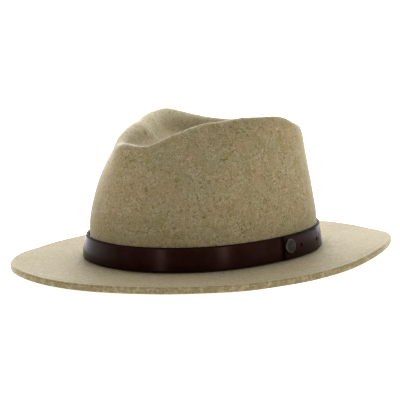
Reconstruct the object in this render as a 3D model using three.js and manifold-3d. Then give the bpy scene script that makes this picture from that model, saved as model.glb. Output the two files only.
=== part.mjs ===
// A felt fedora at its real size, in millimetres.
// +Z is up, the front of the hat faces -Y and the wearer's left is +X.
// The origin lies under the middle of the crown, on the surface that the brim rests on.
// Directions are in degrees from the front (0) past the wearer's left (90) to the back (180).

import * as THREE from "three";
import { mergeVertices } from "three/addons/utils/BufferGeometryUtils.js";
import Module from "manifold-3d";

const wasm = await Module();
wasm.setup();

// Felt: one blocked piece makes crown and brim
const CROWN_WALL = 2.4; // felt thickness in the crown
const BRIM_WALL = 3.0; // felt thickness at the cut edge of the brim
const OVAL_FRONT = 102.2; // half the length of the crown just above the band, outside the felt
const OVAL_SIDE = 86.7; // half its width there
const OVAL_FULLNESS = 0.025; // how much wider than an ellipse the crown is at its diagonals
const BREAK_LEVEL = 4.2; // top of the brim where it meets the crown
const BREAK_RADIUS = 1.6; // inside corner between brim and crown
const FOOT_FLARE = 2.2; // how far the wall spreads behind the band, down to the brim
const FLARE_TOP = 25; // level where it begins to spread
const TAPER_START = 34; // the wall stands upright up to this level
const WALL_TAPER = 0.165; // inward lean of the wall above it, in mm per mm of height
const CORNER_RISE = 0.42; // height of the crest's unrounded corner above it, as a part of its rounding
const SHOULDER_DEPTH = 1.35; // how far the rounding reaches down the wall, as a part of itself
const DENT_FLOOR = 94; // lowest level of the dent in the crown

// Crest of the crown round the dent: reach is its distance from the middle and round is its rounding.
// bend tells how late the wall leans in to it, and slope is the width of the dent's side inside it.
const CREST = [
  { at: 0, reach: 90, level: 105.6, round: 6, bend: 2.2, slope: 40 },
  { at: 11, reach: 85.5, level: 103.8, round: 5, bend: 2.0, slope: 39 },
  { at: 20, reach: 76, level: 106.8, round: 4, bend: 2.0, slope: 38 },
  { at: 30, reach: 65.5, level: 111.8, round: 3.4, bend: 2.2, slope: 38 },
  { at: 45, reach: 56, level: 117, round: 3.4, bend: 2.6, slope: 42 },
  { at: 60, reach: 53.6, level: 118.3, round: 4, bend: 3.0, slope: 48 },
  { at: 80, reach: 57, level: 120.8, round: 5.5, bend: 3.4, slope: 54 },
  { at: 95, reach: 65.5, level: 122, round: 8, bend: 3.4, slope: 58 },
  { at: 110, reach: 75, level: 122.2, round: 11, bend: 3, slope: 58 },
  { at: 125, reach: 81.5, level: 115.6, round: 15, bend: 3, slope: 54 },
  { at: 150, reach: 87, level: 109.2, round: 15, bend: 3, slope: 48 },
  { at: 180, reach: 89.5, level: 107.5, round: 14, bend: 3, slope: 46 },
];

// Brim: width from the crown's foot to the edge, and lift of the edge above the surface it rests on.
// Where the lift is negative, the felt is pressed flat on that surface.
const BRIM = [
  { at: 0, width: 70.85, lift: 2.6 },
  { at: 30, width: 66.5, lift: 1.2 },
  { at: 60, width: 58.8, lift: -0.85 },
  { at: 90, width: 57.2, lift: 0.8 },
  { at: 130, width: 60.6, lift: 5.3 },
  { at: 158, width: 68, lift: 1.3 },
  { at: 180, width: 70.85, lift: -0.95 },
];
const EDGE_ROLL = 8; // width of the outermost strip that curls down
const EDGE_DROP = 2.0; // how far it curls down
const EDGE_STAND = 2.7; // height of the cut edge

// Leather band round the foot of the crown
const SEAT = 0.3; // clearance between pieces that touch
const BAND_THICK = 2.0;
const BAND_FOOT = 5.2; // level of its lower edge
const BAND_TOP = 24.4;
const BAND_JOINT_AT = 107; // direction of the butt joint under the tab
const BAND_JOINT_GAP = 1.2;

// Tab over the joint of the band, from its square front end to its point
const TAB_THICK = 1.6;
const TAB_FOOT = 5.4;
const TAB_TOP = 24.2;
const TAB_FRONT_AT = 89.5;
const TAB_POINT_AT = 124;
const TAB_POINT_LENGTH = 6; // length of the bluntly pointed end
const TAB_POINT_CUT = 5.7; // how far its corners are cut back at the very end
const TAB_HOLES_AT = [103.5, 120.5];
const TAB_HOLE_RADIUS = 1.0;

// Plain oval badge near the tab's front end
const BADGE_AT = 93.5;
const BADGE_LEVEL = 16.2;
const BADGE_WIDTH = 12.4;
const BADGE_HEIGHT = 11.4;
const BADGE_PLATE = 1.0; // thickness of the plate
const BADGE_RIM = 1.5; // width of its raised rim
const BADGE_RIM_RISE = 0.5;

// Fineness of the meshes
const FELT_SECTIONS = 72;
const DENT_STEPS = [0.2, 0.4, 0.56, 0.7, 0.81, 0.9];
const CREST_STEPS = 5;
const WALL_STEPS = [0.16, 0.36, 0.56, 0.76];
const BREAK_STEPS = 3;
const BRIM_STEPS = [0.1, 0.4, 0.7];
const ROLL_STEPS = [0, 0.4, 0.66, 0.86, 1];
const EDGE_STEPS = [0.25, 0.5, 0.75];
const BAND_STEPS = 88;
const TAB_STEPS = 18;
const HOLE_SIDES = 12;
const BADGE_SIDES = 28;
const MERGE_DISTANCE = 1e-4;

const radians = THREE.MathUtils.degToRad;

// A column of a table in any direction, smooth and the same on both sides of the hat
function readTable(rows, column, degrees) {
  const turn = ((degrees % 360) + 360) % 360;
  const at = turn > 180 ? 360 - turn : turn;
  const last = rows.length - 1;
  let row = 0;
  while (row < last - 1 && rows[row + 1].at < at) row += 1;
  const slopeAt = (k) => {
    if (k <= 0 || k >= last) return 0;
    return (rows[k + 1][column] - rows[k - 1][column]) / (rows[k + 1].at - rows[k - 1].at);
  };
  const span = rows[row + 1].at - rows[row].at;
  const part = (at - rows[row].at) / span;
  const rest = 1 - part;
  const before = rows[row][column] * rest ** 2 * (1 + 2 * part);
  const after = rows[row + 1][column] * part ** 2 * (1 + 2 * rest);
  return before + after + span * part * rest * (slopeAt(row) * rest - slopeAt(row + 1) * part);
}

// A point in space from a direction, a distance from the middle and a level
function placed(degrees, reach, level) {
  const angle = radians(degrees);
  return new THREE.Vector3(reach * Math.sin(angle), -reach * Math.cos(angle), level);
}

// Distance from the middle to the crown's wall just above the band
function ovalReach(degrees) {
  const angle = radians(degrees);
  const ellipse = 1 / Math.hypot(Math.sin(angle) / OVAL_SIDE, Math.cos(angle) / OVAL_FRONT);
  return ellipse * (1 + OVAL_FULLNESS * Math.sin(2 * angle) ** 2);
}

// Distance from the middle to the outside of the crown's wall at a level
function wallReach(degrees, level) {
  const flare = (FOOT_FLARE * Math.max(0, FLARE_TOP - level)) / (FLARE_TOP - BREAK_LEVEL);
  const rise = Math.max(0, level - TAPER_START);
  const crestRise = readTable(CREST, "level", degrees) - TAPER_START;
  const pinch = ovalReach(degrees) - WALL_TAPER * crestRise - readTable(CREST, "reach", degrees);
  const pinched = pinch * (rise / crestRise) ** readTable(CREST, "bend", degrees);
  return ovalReach(degrees) + flare - WALL_TAPER * rise - pinched;
}

// Distance from the middle to the crown's foot, where the brim begins
function footReach(degrees) {
  return wallReach(degrees, BREAK_LEVEL);
}

// Points on a corner that is rounded between its two shoulders
function roundCorner(from, corner, to, steps) {
  return new THREE.QuadraticBezierCurve(from, corner, to).getPoints(steps);
}

// The dent's side, the crest and the crown's wall in one direction, as (reach, level) points
function crownSection(degrees) {
  const reach = readTable(CREST, "reach", degrees);
  const round = readTable(CREST, "round", degrees);
  const slope = readTable(CREST, "slope", degrees);
  const cornerLevel = readTable(CREST, "level", degrees) + CORNER_RISE * round;
  const dentPoint = (distance) => {
    const climb = Math.max(0, 1 - (reach - distance) / slope);
    return new THREE.Vector2(distance, DENT_FLOOR + (cornerLevel - DENT_FLOOR) * climb ** 2);
  };
  const wallPoint = (level) => new THREE.Vector2(wallReach(degrees, level), level);
  const innerShoulder = reach - round;
  const outerShoulder = cornerLevel - SHOULDER_DEPTH * round;
  const corner = new THREE.Vector2(reach, cornerLevel);
  return [
    ...DENT_STEPS.map((step) => dentPoint(step * innerShoulder)),
    ...roundCorner(dentPoint(innerShoulder), corner, wallPoint(outerShoulder), CREST_STEPS),
    ...WALL_STEPS.map((step) => wallPoint(THREE.MathUtils.lerp(outerShoulder, TAPER_START, step))),
    wallPoint(TAPER_START),
    wallPoint(FLARE_TOP),
  ];
}

// The corner at the crown's foot and the upper side of the brim in one direction, as (reach, level) points
function brimSection(degrees) {
  const foot = footReach(degrees);
  const rollStart = readTable(BRIM, "width", degrees) - EDGE_ROLL;
  const rollLevel = readTable(BRIM, "lift", degrees) + EDGE_STAND + EDGE_DROP;
  const breakTop = BREAK_LEVEL + BREAK_RADIUS;
  const cornerTop = new THREE.Vector2(wallReach(degrees, breakTop), breakTop);
  const corner = new THREE.Vector2(foot, BREAK_LEVEL);
  const cornerFoot = new THREE.Vector2(foot + BREAK_RADIUS, BREAK_LEVEL);
  const brimPoint = (step) => {
    const out = THREE.MathUtils.lerp(BREAK_RADIUS, rollStart, step);
    return new THREE.Vector2(foot + out, THREE.MathUtils.lerp(BREAK_LEVEL, rollLevel, out / rollStart));
  };
  const rollPoint = (part) =>
    new THREE.Vector2(foot + rollStart + EDGE_ROLL * part, rollLevel - EDGE_DROP * part ** 2);
  return [
    ...roundCorner(cornerTop, corner, cornerFoot, BREAK_STEPS),
    ...BRIM_STEPS.map(brimPoint),
    ...ROLL_STEPS.map(rollPoint),
  ];
}

// Felt thickness at a distance from the middle
function feltWall(degrees, reach) {
  const out = (reach - footReach(degrees)) / readTable(BRIM, "width", degrees);
  return THREE.MathUtils.lerp(CROWN_WALL, BRIM_WALL, THREE.MathUtils.clamp(out, 0, 1));
}

// A geometry from corner points and triangles
function meshGeometry(points, index) {
  const geometry = new THREE.BufferGeometry();
  const positions = points.flatMap((p) => [p.x, p.y, p.z]);
  geometry.setAttribute("position", new THREE.Float32BufferAttribute(positions, 3));
  geometry.setIndex(index);
  geometry.computeVertexNormals();
  return geometry;
}

// A closed surface from rings of points, where the first and last ring are each closed by a single point
function shellFromRings(firstPole, rings, lastPole) {
  const sides = rings[0].length;
  const vertex = (ring, side) => 1 + ring * sides + (side % sides);
  const lastVertex = 1 + rings.length * sides;
  const index = [];
  for (let side = 0; side < sides; side += 1) {
    index.push(0, vertex(0, side), vertex(0, side + 1));
    for (let ring = 0; ring + 1 < rings.length; ring += 1) {
      index.push(vertex(ring, side), vertex(ring + 1, side), vertex(ring + 1, side + 1));
      index.push(vertex(ring, side), vertex(ring + 1, side + 1), vertex(ring, side + 1));
    }
    index.push(lastVertex, vertex(rings.length - 1, side + 1), vertex(rings.length - 1, side));
  }
  return meshGeometry([firstPole, ...rings.flat(), lastPole], index);
}

// The underside: the upper side moved in by the wall, and pressed flat where it would go below the surface
function undersideOf(upper, directions, pole) {
  const sides = directions.length;
  return upper.map((ring, row) =>
    ring.map((point, i) => {
      const before = row > 0 ? upper[row - 1][i] : pole;
      const after = upper[Math.min(row + 1, upper.length - 1)][i];
      const around = ring[(i + 1) % sides].clone().sub(ring[(i + sides - 1) % sides]);
      const normal = after.clone().sub(before).cross(around).normalize();
      const wall = feltWall(directions[i], Math.hypot(point.x, point.y));
      const inner = point.clone().addScaledVector(normal, -wall);
      inner.z = Math.max(0, inner.z);
      return inner;
    }),
  );
}

// The rounded cut edge between the outermost points of the upper side and of the underside
function cutEdge(top, bottom, directions) {
  return EDGE_STEPS.map((part) =>
    directions.map((degrees, i) => {
      const along = 0.5 - 0.5 * Math.cos(Math.PI * part);
      const bulge = 0.5 * BRIM_WALL * Math.sin(Math.PI * part);
      return top[i].clone().lerp(bottom[i], along).add(placed(degrees, bulge, 0));
    }),
  );
}

// Crown and brim in one piece of felt, open below
function feltBody() {
  const directions = Array.from({ length: FELT_SECTIONS }, (_, i) => (i * 360) / FELT_SECTIONS);
  const sections = directions.map((degrees) => [...crownSection(degrees), ...brimSection(degrees)]);
  const upper = sections[0].map((_, row) =>
    directions.map((degrees, i) => placed(degrees, sections[i][row].x, sections[i][row].y)),
  );
  const pole = new THREE.Vector3(0, 0, DENT_FLOOR);
  const innerPole = new THREE.Vector3(0, 0, DENT_FLOOR - CROWN_WALL);
  const under = undersideOf(upper, directions, pole);
  const edge = cutEdge(upper.at(-1), under.at(-1), directions);
  return shellFromRings(pole, [...upper, ...edge, ...under.reverse()], innerPole);
}

// A strip of leather that stands on the crown's wall, with square ends.
// Both functions take the part of the way along it, from 0 to 1.
function leatherStrip(steps, directionAt, levelsAt, lift, thick) {
  const points = [];
  for (let step = 0; step <= steps; step += 1) {
    const degrees = directionAt(step / steps);
    const { low, high } = levelsAt(step / steps);
    const lowReach = wallReach(degrees, low) + lift;
    const highReach = wallReach(degrees, high) + lift;
    points.push(placed(degrees, lowReach, low), placed(degrees, lowReach + thick, low));
    points.push(placed(degrees, highReach + thick, high), placed(degrees, highReach, high));
  }
  const index = [0, 1, 2, 0, 2, 3];
  for (let step = 0; step < steps; step += 1) {
    for (let corner = 0; corner < 4; corner += 1) {
      const here = step * 4 + corner;
      const beside = step * 4 + ((corner + 1) % 4);
      index.push(here, here + 4, beside + 4);
      index.push(here, beside + 4, beside);
    }
  }
  const end = steps * 4;
  index.push(end, end + 2, end + 1, end, end + 3, end + 2);
  return meshGeometry(points, index);
}

// The band goes round the crown once, and its ends meet under the tab
function bandStrap() {
  const halfGap = THREE.MathUtils.radToDeg((0.5 * BAND_JOINT_GAP) / footReach(BAND_JOINT_AT));
  const start = BAND_JOINT_AT + halfGap;
  const end = BAND_JOINT_AT + 360 - halfGap;
  const directionAt = (part) => THREE.MathUtils.lerp(start, end, part);
  return leatherStrip(BAND_STEPS, directionAt, () => ({ low: BAND_FOOT, high: BAND_TOP }), SEAT, BAND_THICK);
}

// A solid for cutting, from a three.js geometry
function toSolid(geometry) {
  const bare = geometry.clone();
  bare.deleteAttribute("normal");
  bare.deleteAttribute("uv");
  const merged = mergeVertices(bare, MERGE_DISTANCE);
  const vertProperties = new Float32Array(merged.getAttribute("position").array);
  const triVerts = new Uint32Array(merged.getIndex().array);
  return new wasm.Manifold(new wasm.Mesh({ numProp: 3, vertProperties, triVerts }));
}

// A three.js geometry from a solid
function toGeometry(solid) {
  const mesh = solid.getMesh();
  const geometry = new THREE.BufferGeometry();
  geometry.setAttribute("position", new THREE.Float32BufferAttribute(mesh.vertProperties, 3));
  geometry.setIndex(Array.from(mesh.triVerts));
  geometry.computeVertexNormals();
  return geometry;
}

const BAND_LEAN = Math.atan(FOOT_FLARE / (FLARE_TOP - BREAK_LEVEL));

// Turns a piece made along +Z so that it points squarely out of the band, from a base on it
function pointOut(geometry, degrees, reach, level) {
  const facing = new THREE.Matrix4().makeBasis(
    placed(degrees + 90, 1, 0),
    new THREE.Vector3(0, 0, 1),
    placed(degrees, 1, 0),
  );
  const base = placed(degrees, reach, level);
  geometry.rotateX(-BAND_LEAN);
  geometry.applyMatrix4(facing);
  return geometry.translate(base.x, base.y, base.z);
}

const TAB_LIFT = SEAT + BAND_THICK + SEAT;

// The tab: square in front, bluntly pointed behind, with two punched holes on its middle line
function bandTab() {
  const length = footReach(TAB_FRONT_AT) * radians(TAB_POINT_AT - TAB_FRONT_AT);
  const directionAt = (part) => THREE.MathUtils.lerp(TAB_FRONT_AT, TAB_POINT_AT, part);
  const levelsAt = (part) => {
    const point = Math.max(0, 1 - ((1 - part) * length) / TAB_POINT_LENGTH);
    const cut = TAB_POINT_CUT * point ** 2;
    return { low: TAB_FOOT + cut, high: TAB_TOP - cut };
  };
  let tab = toSolid(leatherStrip(TAB_STEPS, directionAt, levelsAt, TAB_LIFT, TAB_THICK));
  const middleLevel = 0.5 * (TAB_FOOT + TAB_TOP);
  for (const degrees of TAB_HOLES_AT) {
    const punch = new THREE.CylinderGeometry(TAB_HOLE_RADIUS, TAB_HOLE_RADIUS, 4 * TAB_THICK, HOLE_SIDES);
    punch.rotateX(Math.PI / 2);
    const reach = wallReach(degrees, middleLevel) + TAB_LIFT + 0.5 * TAB_THICK;
    tab = tab.subtract(toSolid(pointOut(punch, degrees, reach, middleLevel)));
  }
  return toGeometry(tab);
}

// The badge: an oval plate with a raised rim
function badge() {
  const halfWidth = 0.5 * BADGE_WIDTH;
  const rimTop = BADGE_PLATE + BADGE_RIM_RISE;
  const rimFoot = BADGE_PLATE + 0.4 * BADGE_RIM_RISE;
  const profile = [
    new THREE.Vector2(0, 0),
    new THREE.Vector2(halfWidth, 0),
    new THREE.Vector2(halfWidth, rimFoot),
    new THREE.Vector2(halfWidth - 0.3 * BADGE_RIM, rimTop),
    new THREE.Vector2(halfWidth - 0.7 * BADGE_RIM, rimTop),
    new THREE.Vector2(halfWidth - BADGE_RIM, rimFoot),
    new THREE.Vector2(halfWidth - BADGE_RIM, BADGE_PLATE),
    new THREE.Vector2(0, BADGE_PLATE),
  ];
  const plate = new THREE.LatheGeometry(profile, BADGE_SIDES);
  plate.rotateX(Math.PI / 2);
  plate.scale(1, BADGE_HEIGHT / BADGE_WIDTH, 1);
  const reach = wallReach(BADGE_AT, BADGE_LEVEL) + TAB_LIFT + TAB_THICK + SEAT;
  return pointOut(toGeometry(toSolid(plate)), BADGE_AT, reach, BADGE_LEVEL);
}

const felt = new THREE.MeshStandardMaterial({ color: 0xa2967a, roughness: 0.95, metalness: 0 });
const bandLeather = new THREE.MeshStandardMaterial({ color: 0x2a1a15, roughness: 0.45, metalness: 0 });
const tabLeather = new THREE.MeshStandardMaterial({ color: 0x2e1d18, roughness: 0.45, metalness: 0 });
const pewter = new THREE.MeshStandardMaterial({ color: 0x4a4a44, roughness: 0.4, metalness: 0.85 });

const hat = new THREE.Group();

function addPiece(name, geometry, material) {
  const mesh = new THREE.Mesh(geometry, material);
  mesh.name = name;
  hat.add(mesh);
}

addPiece("felt_body", feltBody(), felt);
addPiece("band_strap", bandStrap(), bandLeather);
addPiece("band_tab", bandTab(), tabLeather);
addPiece("badge", badge(), pewter);

export default hat;
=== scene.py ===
"""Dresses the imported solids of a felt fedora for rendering.

The pieces' sizes are in millimetres, and a mesh turns them into metres when it is made. The
studio's sizes are in metres.
+Z is up, the front of the hat faces -Y and the wearer's left is +X.
Directions are in degrees from the front (0) past the wearer's left (90) to the back (180).
"""

import logging
import math
from dataclasses import dataclass, field
from enum import Enum
from typing import Callable

import bpy
import numpy as np
from mathutils import Matrix, Vector, noise


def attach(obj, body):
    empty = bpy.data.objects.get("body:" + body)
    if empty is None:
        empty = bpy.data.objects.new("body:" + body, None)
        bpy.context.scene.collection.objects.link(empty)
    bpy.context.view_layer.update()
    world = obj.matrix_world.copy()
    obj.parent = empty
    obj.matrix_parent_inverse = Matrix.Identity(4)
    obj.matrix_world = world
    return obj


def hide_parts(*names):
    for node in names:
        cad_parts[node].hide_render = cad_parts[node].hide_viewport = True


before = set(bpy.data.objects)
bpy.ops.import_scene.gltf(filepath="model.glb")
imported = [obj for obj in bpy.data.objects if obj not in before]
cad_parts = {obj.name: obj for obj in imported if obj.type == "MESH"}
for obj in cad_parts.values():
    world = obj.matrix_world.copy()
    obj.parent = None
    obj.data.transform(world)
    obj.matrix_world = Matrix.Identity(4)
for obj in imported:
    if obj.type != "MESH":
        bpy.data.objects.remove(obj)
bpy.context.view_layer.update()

LOG = logging.getLogger("fedora")
MM = 0.001

Triple = tuple[float, float, float]
Colour = Triple
Socket = bpy.types.NodeSocket
Faces = list[tuple[int, ...]]

WHITE: Colour = (1.0, 1.0, 1.0)

# The Mix node's sockets for colours, which share their names with its other sockets
MIX_PART = 0
MIX_FIRST = 6
MIX_SECOND = 7
MIX_RESULT = 2


# Node graphs for the finishes


class CellDistance(Enum):
    """What a cell texture measures the distance to."""

    MIDDLE = "F1"
    EDGE = "DISTANCE_TO_EDGE"


@dataclass(frozen=True)
class Pattern:
    """A noise pattern in an object's own space, and the part of its range that shows.

    Attributes:
        scale: Features per metre, roughly.
        detail: Number of finer layers.
        roughness: Strength of the finer layers.
        stir: How much the pattern is distorted.
        offset: Shift, so that two patterns don't coincide.
        stretch: Stretch along each axis, which is used with an offset.
        low: The noise's value where the pattern starts to show.
        high: The noise's value where it shows fully.
    """

    scale: float
    detail: float
    roughness: float
    stir: float = 0.0
    offset: Triple | None = None
    stretch: Triple = (1.0, 1.0, 1.0)
    low: float = 0.0
    high: float = 1.0


class Graph:
    """A node tree, with short ways to add and join its nodes."""

    def __init__(self, tree: bpy.types.NodeTree) -> None:
        """Takes up the node tree of a material or a world."""
        self.nodes = tree.nodes
        self.links = tree.links

    def join(self, source: Socket, target: Socket) -> None:
        """Links an output to an input."""
        self.links.new(source, target)

    def feed(self, target: Socket, value: object) -> None:
        """Gives an input a value, a colour or another node's output.

        Args:
            target: The input.
            value: A number, a colour without its alpha, or an output to link.
        """
        if isinstance(value, Socket):
            self.join(value, target)
        elif isinstance(value, tuple) and len(value) == 3 and target.type == "RGBA":
            target.default_value = (*value, 1.0)
        else:
            target.default_value = value

    def add(self, kind: str, values: dict[str, float | Triple]) -> bpy.types.Node:
        """Adds a node and sets some of its inputs.

        Args:
            kind: The node's type.
            values: Values by the inputs' names.

        Returns:
            The node.
        """
        node = self.nodes.new(kind)
        for name, value in values.items():
            node.inputs[name].default_value = value
        return node

    def spread(
        self, value: Socket, low: float, high: float, to_low: float = 0.0, to_high: float = 1.0
    ) -> Socket:
        """Stretches a range of a value to another range, and holds it there beyond its ends.

        Args:
            value: The value.
            low: Where the range begins.
            high: Where it ends.
            to_low: What its beginning becomes.
            to_high: What its end becomes.

        Returns:
            The output that holds the new value.
        """
        ends = {"From Min": low, "From Max": high, "To Min": to_low, "To Max": to_high}
        node = self.add("ShaderNodeMapRange", ends)
        self.join(value, node.inputs["Value"])
        return node.outputs["Result"]

    def blend(self, part: object, first: object, second: object) -> Socket:
        """Mixes two colours.

        Args:
            part: How much of the second colour there is.
            first: The first colour, or an output.
            second: The second colour, or an output.

        Returns:
            The output that holds the mixed colour.
        """
        node = self.nodes.new("ShaderNodeMix")
        node.data_type = "RGBA"
        for index, value in ((MIX_PART, part), (MIX_FIRST, first), (MIX_SECOND, second)):
            self.feed(node.inputs[index], value)
        return node.outputs[MIX_RESULT]


class SurfaceGraph(Graph):
    """The node graph of one material, with textures in the object's own space."""

    def __init__(self, name: str) -> None:
        """Starts a material that has a Principled shader and its output.

        Args:
            name: The material's name.
        """
        self.material = bpy.data.materials.new(name)
        self.material.use_nodes = True
        super().__init__(self.material.node_tree)
        self.nodes.clear()
        self.shader = self.nodes.new("ShaderNodeBsdfPrincipled")
        output = self.nodes.new("ShaderNodeOutputMaterial")
        self.join(self.shader.outputs["BSDF"], output.inputs["Surface"])
        self.place = self.nodes.new("ShaderNodeTexCoord").outputs["Object"]

    def shine(self, **values: float | Colour) -> None:
        """Sets the shader's own sockets, named with spaces as underscores."""
        for name, value in values.items():
            self.feed(self.shader.inputs[name.replace("_", " ")], value)

    def noise(self, pattern: Pattern) -> Socket:
        """Adds a noise texture.

        Args:
            pattern: The pattern.

        Returns:
            The output that holds its value.
        """
        values = {
            "Scale": pattern.scale,
            "Detail": pattern.detail,
            "Roughness": pattern.roughness,
            "Distortion": pattern.stir,
        }
        node = self.add("ShaderNodeTexNoise", values)
        place = self.place if pattern.offset is None else self.moved(pattern.offset, pattern.stretch)
        self.join(place, node.inputs["Vector"])
        return node.outputs["Fac"]

    def shown(self, pattern: Pattern, weakest: float = 0.0, strongest: float = 1.0) -> Socket:
        """Adds a noise, weakest where the pattern doesn't show and strongest where it shows fully."""
        return self.spread(self.noise(pattern), pattern.low, pattern.high, weakest, strongest)

    def cells(self, scale: float, distance: CellDistance) -> Socket:
        """Adds a cell texture.

        Args:
            scale: Cells per metre, roughly.
            distance: What it measures the distance to.

        Returns:
            The output that holds the distance.
        """
        node = self.add("ShaderNodeTexVoronoi", {"Scale": scale})
        node.feature = distance.value
        self.join(self.place, node.inputs["Vector"])
        return node.outputs["Distance"]

    def moved(self, offset: Triple, stretch: Triple) -> Socket:
        """Adds shifted and stretched coordinates.

        Args:
            offset: The shift.
            stretch: The stretch along each axis.

        Returns:
            The output that holds the coordinates.
        """
        node = self.add("ShaderNodeMapping", {"Location": offset, "Scale": stretch})
        self.join(self.place, node.inputs["Vector"])
        return node.outputs["Vector"]

    def sum(self, *terms: tuple[Socket, float]) -> Socket:
        """Adds several values up.

        Args:
            terms: Each value with its share.

        Returns:
            The output that holds the sum.
        """
        total = 0.0
        for value, share in terms:
            node = self.nodes.new("ShaderNodeMath")
            node.operation = "MULTIPLY_ADD"
            self.join(value, node.inputs[0])
            node.inputs[1].default_value = share
            self.feed(node.inputs[2], total)
            total = node.outputs[0]
        return total

    def times(self, first: Socket, second: Socket) -> Socket:
        """Multiplies two values.

        Args:
            first: The first value.
            second: The second value.

        Returns:
            The output that holds the product.
        """
        node = self.nodes.new("ShaderNodeMath")
        node.operation = "MULTIPLY"
        self.join(first, node.inputs[0])
        self.join(second, node.inputs[1])
        return node.outputs[0]

    def lines(self, value: Socket, width: float, strength: float) -> Socket:
        """Draws thin curled lines where a noise passes its middle value.

        Args:
            value: The noise.
            width: Half the lines' width, as a part of the noise's range.
            strength: The lines' value.

        Returns:
            The output that holds the lines.
        """
        node = self.nodes.new("ShaderNodeMath")
        node.operation = "COMPARE"
        self.join(value, node.inputs[0])
        node.inputs[1].default_value = 0.5
        node.inputs[2].default_value = width
        return self.spread(node.outputs[0], 0.0, 1.0, 0.0, strength)

    def mask(self, name: str) -> Socket:
        """Reads a value that the mesh carries at its points.

        Args:
            name: The mesh attribute's name.

        Returns:
            The output that holds the value.
        """
        node = self.nodes.new("ShaderNodeAttribute")
        node.attribute_name = name
        return node.outputs["Fac"]

    def bump(self, height: Socket, depth_mm: float, strength: float) -> None:
        """Roughens the shader's surface.

        Args:
            height: The relief, from 0 to 1.
            depth_mm: Its depth in millimetres.
            strength: Its share, from 0 to 1.
        """
        node = self.add("ShaderNodeBump", {"Strength": strength, "Distance": depth_mm * MM})
        self.join(height, node.inputs["Height"])
        self.join(node.outputs["Normal"], self.shader.inputs["Normal"])


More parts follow.
